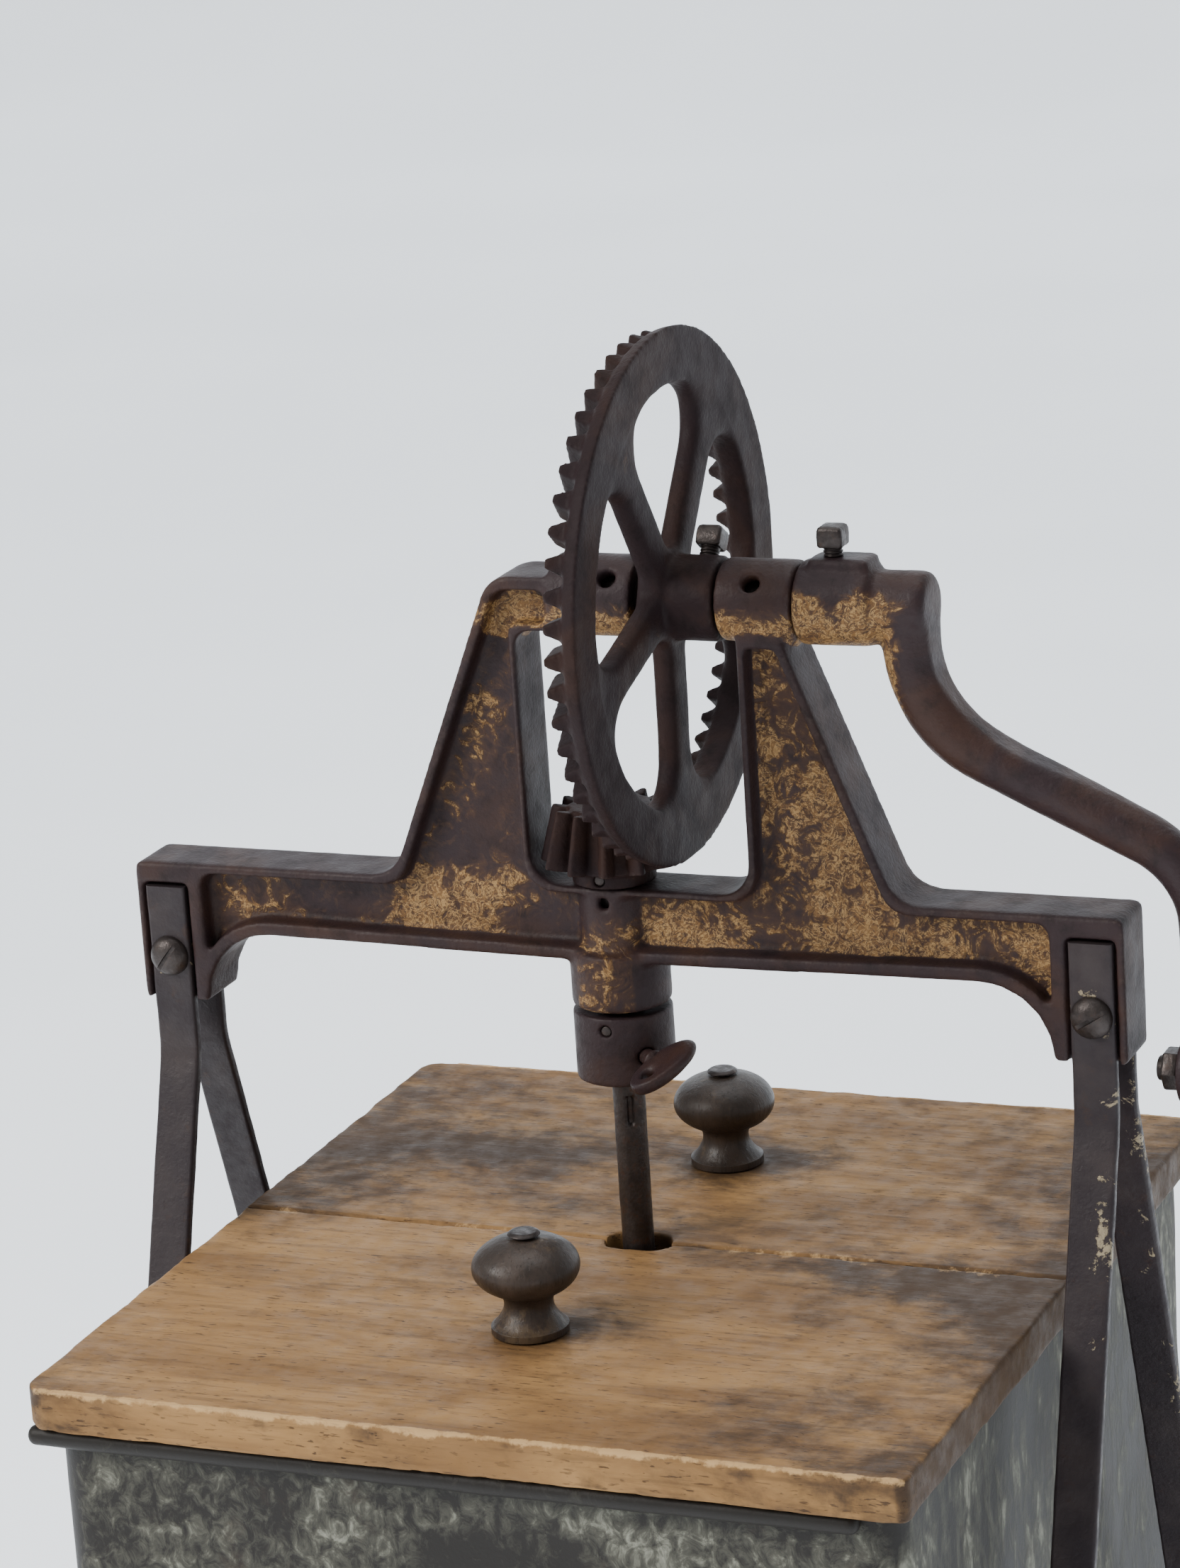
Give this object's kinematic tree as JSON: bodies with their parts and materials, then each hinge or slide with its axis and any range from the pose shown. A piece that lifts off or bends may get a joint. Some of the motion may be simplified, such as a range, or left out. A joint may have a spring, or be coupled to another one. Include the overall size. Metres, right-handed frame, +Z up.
{
  "type": "hand crank butter churn",
  "caption": "Hand crank butter churn: bevel gears in a cast frame on strap legs turn a wooden paddle dasher inside a square sheet-metal tank with a split wooden lid.",
  "frame": {"origin": "middle of the whole object's box in X and Y, on the floor under the base bars", "axes": "+Z up; +X along the crank shaft towards the crank; -Y towards the front, the side with the slotted bolt heads"},
  "size_m": [0.5174, 0.3546, 0.7052],
  "materials": {
    "dark_cast_iron": "satin, with worn gold paint in the recesses",
    "painted_strap": "matt, chipped",
    "galvanised_sheet": "dull, mottled and stained",
    "stained_lid_board": "worn stain, satin",
    "dark_turned_wood": "dark, semi-gloss",
    "plain_dasher_wood": "bare, matt",
    "worn_rod_steel": "worn, satin",
    "dark_fastener_steel": "oxidised, satin"
  },
  "bodies": {
    "base": {"gear_frame": "dark_cast_iron", "tank_shell": "galvanised_sheet", "tank_bottom": "galvanised_sheet", "pivot_cup": "dark_cast_iron", "base_bar_front": "painted_strap", "base_bar_back": "painted_strap", "leg_left_front": "painted_strap", "leg_left_back": "painted_strap", "leg_right_front": "painted_strap", "leg_right_back": "painted_strap", "foot_rivet_left_front": "dark_fastener_steel", "foot_rivet_left_back": "dark_fastener_steel", "foot_rivet_right_front": "dark_fastener_steel", "foot_rivet_right_back": "dark_fastener_steel", "frame_bolt_left": "dark_fastener_steel", "frame_bolt_right": "dark_fastener_steel", "frame_nut_left": "dark_fastener_steel", "frame_nut_right": "dark_fastener_steel"},
    "crank": {"drive_wheel": "dark_cast_iron", "drive_shaft": "dark_fastener_steel", "wheel_set_screw": "dark_fastener_steel", "crank_arm": "dark_cast_iron", "crank_set_screw": "dark_fastener_steel", "grip_bolt": "dark_fastener_steel", "grip_nut": "dark_fastener_steel", "grip_washer": "dark_fastener_steel"},
    "grip": {"crank_grip": "dark_turned_wood"},
    "dasher": {"bevel_pinion": "dark_cast_iron", "pinion_spindle": "dark_fastener_steel", "pinion_pin": "dark_fastener_steel", "coupling_collar": "dark_cast_iron", "collar_pin": "dark_fastener_steel", "dasher_rod": "worn_rod_steel", "dasher_hub": "plain_dasher_wood", "hub_pin": "dark_fastener_steel", "dasher_blade_1": "plain_dasher_wood", "dasher_blade_2": "plain_dasher_wood", "dasher_blade_3": "plain_dasher_wood", "dasher_blade_4": "plain_dasher_wood"},
    "thumb_screw": {"thumb_screw": "dark_fastener_steel"},
    "lid_front": {"lid_front": "stained_lid_board", "knob_front": "dark_turned_wood", "knob_screw_front": "dark_fastener_steel", "lid_cleat_left_front": "stained_lid_board", "lid_cleat_right_front": "stained_lid_board"},
    "lid_back": {"lid_back": "stained_lid_board", "knob_back": "dark_turned_wood", "knob_screw_back": "dark_fastener_steel", "lid_cleat_left_back": "stained_lid_board", "lid_cleat_right_back": "stained_lid_board"}
  },
  "joints": [
    {"name": "crank_turn", "type": "hinge", "parent": "base", "child": "crank", "pos_m": [-0.0678, 0.00565, 0.6082], "axis": [1, 0, 0], "continuous": true},
    {"name": "dasher_spin", "type": "hinge", "parent": "base", "child": "dasher", "pos_m": [-0.0678, 0.00565, 0.3602], "axis": [0, 0, 1], "continuous": true},
    {"name": "grip_spin", "type": "hinge", "parent": "crank", "child": "grip", "pos_m": [0.2104, 0.00565, 0.4432], "axis": [1, 0, 0], "continuous": true},
    {"name": "thumb_screw_turn", "type": "hinge", "parent": "dasher", "child": "thumb_screw", "pos_m": [-0.0678, 0.00565, 0.4377], "axis": [0.7431, -0.6691, 0], "range_deg": [0, 720]},
    {"name": "lid_front_lift_off", "type": "slide", "parent": "base", "child": "lid_front", "axis": [0, -0.7071, 0.7071], "range_m": [0, 0.42]},
    {"name": "lid_back_lift_off", "type": "slide", "parent": "base", "child": "lid_back", "axis": [0, 0.7071, 0.7071], "range_m": [0, 0.42]}
  ],
  "couplings": [
    {"joint": "dasher_spin", "follows": "crank_turn", "ratio": 4.3333}
  ]
}
